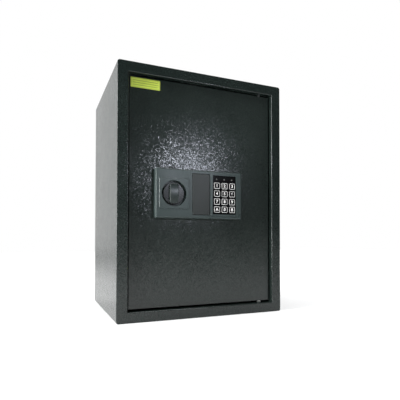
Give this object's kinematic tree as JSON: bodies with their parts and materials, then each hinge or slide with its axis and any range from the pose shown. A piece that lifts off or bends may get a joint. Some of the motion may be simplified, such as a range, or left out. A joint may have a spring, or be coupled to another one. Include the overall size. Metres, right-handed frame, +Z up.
{
  "type": "electronic safe",
  "caption": "Upright sheet-steel safe with a recessed pivot-hung door, rotary knob, keypad, key override, sliding bolts, battery tray and one shelf.",
  "frame": {"origin": "middle of the cabinet's underside", "axes": "+X to the right seen from the front, +Y towards the back, +Z up; the door faces -Y"},
  "size_m": [0.36, 0.317, 0.5],
  "materials": {
    "cabinet_paint": "textured hammertone powder coat",
    "door_paint": "textured hammertone powder coat",
    "zinc_steel": "bright zinc plate",
    "bolt_chrome": "polished nickel plate",
    "panel_plastic": "fine-grained moulded plastic",
    "hatch_plastic": "satin moulded plastic",
    "knob_plastic": "satin moulded plastic",
    "keypad_plastic": "glossy black",
    "key_rubber": "satin black with white printed digit",
    "led_lens": "milky clear",
    "label_film": "matt printed film",
    "brass": "satin",
    "copper_coil": "lacquered winding",
    "board_laminate": "solder mask",
    "black_moulding": "satin moulded plastic",
    "nylon": "natural nylon",
    "cell_wrap": "shrink sleeve",
    "red_wire": "insulated wire",
    "ribbon_grey": "flat cable",
    "carpet": "short needle-punched pile",
    "red_cap": "moulded"
  },
  "bodies": {
    "cabinet": {"cabinet_wrap": "cabinet_paint", "front_frame": "cabinet_paint", "back_panel": "cabinet_paint", "hinge_plates": "cabinet_paint", "door_stop_tabs": "cabinet_paint", "shelf_rails": "cabinet_paint", "floor_mat": "carpet"},
    "shelf": {"shelf": "cabinet_paint"},
    "knob": {"knob": "knob_plastic", "knob_spindle": "zinc_steel", "knob_cam": "zinc_steel", "spindle_clip": "zinc_steel"},
    "bolt_work": {"bolt_carrier": "zinc_steel", "locking_bolts": "bolt_chrome"},
    "plunger": {"plunger": "bolt_chrome", "plunger_arm": "zinc_steel"},
    "override": {"override_plug": "brass", "override_lever": "zinc_steel"},
    "hatch": {"lock_hatch": "hatch_plastic"},
    "reset_button": {"reset_button": "red_cap"},
    "battery_lid": {"battery_lid": "black_moulding"},
    "key_1": {"key_1": "key_rubber"},
    "key_2": {"key_2": "key_rubber"},
    "key_3": {"key_3": "key_rubber"},
    "key_4": {"key_4": "key_rubber"},
    "key_5": {"key_5": "key_rubber"},
    "key_6": {"key_6": "key_rubber"},
    "key_7": {"key_7": "key_rubber"},
    "key_8": {"key_8": "key_rubber"},
    "key_9": {"key_9": "key_rubber"},
    "key_a": {"key_a": "key_rubber"},
    "key_0": {"key_0": "key_rubber"},
    "key_b": {"key_b": "key_rubber"},
    "door": {"door_plate": "door_paint", "door_box": "door_paint", "door_inner_cover": "door_paint", "cover_screws": "zinc_steel", "hinge_blocks": "door_paint", "lower_hinge_pin": "zinc_steel", "upper_hinge_pin": "zinc_steel", "hinge_washer": "zinc_steel", "door_label": "label_film", "lock_panel": "panel_plastic", "panel_screws": "zinc_steel", "spindle_bush": "nylon", "guide_studs": "zinc_steel", "solenoid_frame": "zinc_steel", "solenoid_coil": "copper_coil", "plunger_spring": "zinc_steel", "solenoid_leads": "red_wire", "override_barrel": "brass", "barrel_nut": "brass", "keypad_plate": "keypad_plastic", "keypad_board": "board_laminate", "keypad_ribbon": "ribbon_grey", "led_lenses": "led_lens", "control_board": "board_laminate", "battery_tray": "black_moulding", "cells": "cell_wrap", "battery_leads": "red_wire"}
  },
  "joints": [
    {"name": "door_swing", "type": "hinge", "parent": "cabinet", "child": "door", "pos_m": [0.1353, -0.1365, 0.25], "axis": [0, 0, 1], "range_deg": [0, 115]},
    {"name": "bolt_slide", "type": "slide", "parent": "door", "child": "bolt_work", "axis": [-1, 0, 0], "range_m": [0, 0.018]},
    {"name": "knob_turn", "type": "hinge", "parent": "door", "child": "knob", "pos_m": [-0.069, -0.155, 0.2497], "axis": [0, -1, 0], "range_deg": [0, 90]},
    {"name": "plunger_drop", "type": "slide", "parent": "door", "child": "plunger", "axis": [0, 0, 1], "range_m": [-0.005, 0], "stiffness_N_per_m": 80, "springref_m": -0.008, "deforming": ["plunger_spring"]},
    {"name": "override_turn", "type": "hinge", "parent": "door", "child": "override", "pos_m": [-0.013, -0.155, 0.25], "axis": [0, 1, 0], "range_deg": [0, 90]},
    {"name": "hatch_off", "type": "slide", "parent": "door", "child": "hatch", "axis": [0, -1, 0], "range_m": [0, 0.03]},
    {"name": "reset_press", "type": "slide", "parent": "door", "child": "reset_button", "axis": [0, -1, 0], "range_m": [0, 0.0015], "stiffness_N_per_m": 800},
    {"name": "battery_lid_off", "type": "slide", "parent": "door", "child": "battery_lid", "axis": [0, 1, 0], "range_m": [0, 0.02]},
    {"name": "shelf_lift", "type": "slide", "parent": "cabinet", "child": "shelf", "axis": [0, 0, 1], "range_m": [0, 0.03]},
    {"name": "key_1_press", "type": "slide", "parent": "door", "child": "key_1", "axis": [0, 1, 0], "range_m": [0, 0.0009], "stiffness_N_per_m": 1200},
    {"name": "key_2_press", "type": "slide", "parent": "door", "child": "key_2", "axis": [0, 1, 0], "range_m": [0, 0.0009], "stiffness_N_per_m": 1200},
    {"name": "key_3_press", "type": "slide", "parent": "door", "child": "key_3", "axis": [0, 1, 0], "range_m": [0, 0.0009], "stiffness_N_per_m": 1200},
    {"name": "key_4_press", "type": "slide", "parent": "door", "child": "key_4", "axis": [0, 1, 0], "range_m": [0, 0.0009], "stiffness_N_per_m": 1200},
    {"name": "key_5_press", "type": "slide", "parent": "door", "child": "key_5", "axis": [0, 1, 0], "range_m": [0, 0.0009], "stiffness_N_per_m": 1200},
    {"name": "key_6_press", "type": "slide", "parent": "door", "child": "key_6", "axis": [0, 1, 0], "range_m": [0, 0.0009], "stiffness_N_per_m": 1200},
    {"name": "key_7_press", "type": "slide", "parent": "door", "child": "key_7", "axis": [0, 1, 0], "range_m": [0, 0.0009], "stiffness_N_per_m": 1200},
    {"name": "key_8_press", "type": "slide", "parent": "door", "child": "key_8", "axis": [0, 1, 0], "range_m": [0, 0.0009], "stiffness_N_per_m": 1200},
    {"name": "key_9_press", "type": "slide", "parent": "door", "child": "key_9", "axis": [0, 1, 0], "range_m": [0, 0.0009], "stiffness_N_per_m": 1200},
    {"name": "key_a_press", "type": "slide", "parent": "door", "child": "key_a", "axis": [0, 1, 0], "range_m": [0, 0.0009], "stiffness_N_per_m": 1200},
    {"name": "key_0_press", "type": "slide", "parent": "door", "child": "key_0", "axis": [0, 1, 0], "range_m": [0, 0.0009], "stiffness_N_per_m": 1200},
    {"name": "key_b_press", "type": "slide", "parent": "door", "child": "key_b", "axis": [0, 1, 0], "range_m": [0, 0.0009], "stiffness_N_per_m": 1200}
  ],
  "couplings": [
    {"joint": "knob_turn", "follows": "bolt_slide", "rad_per_m": 87.266}
  ]
}
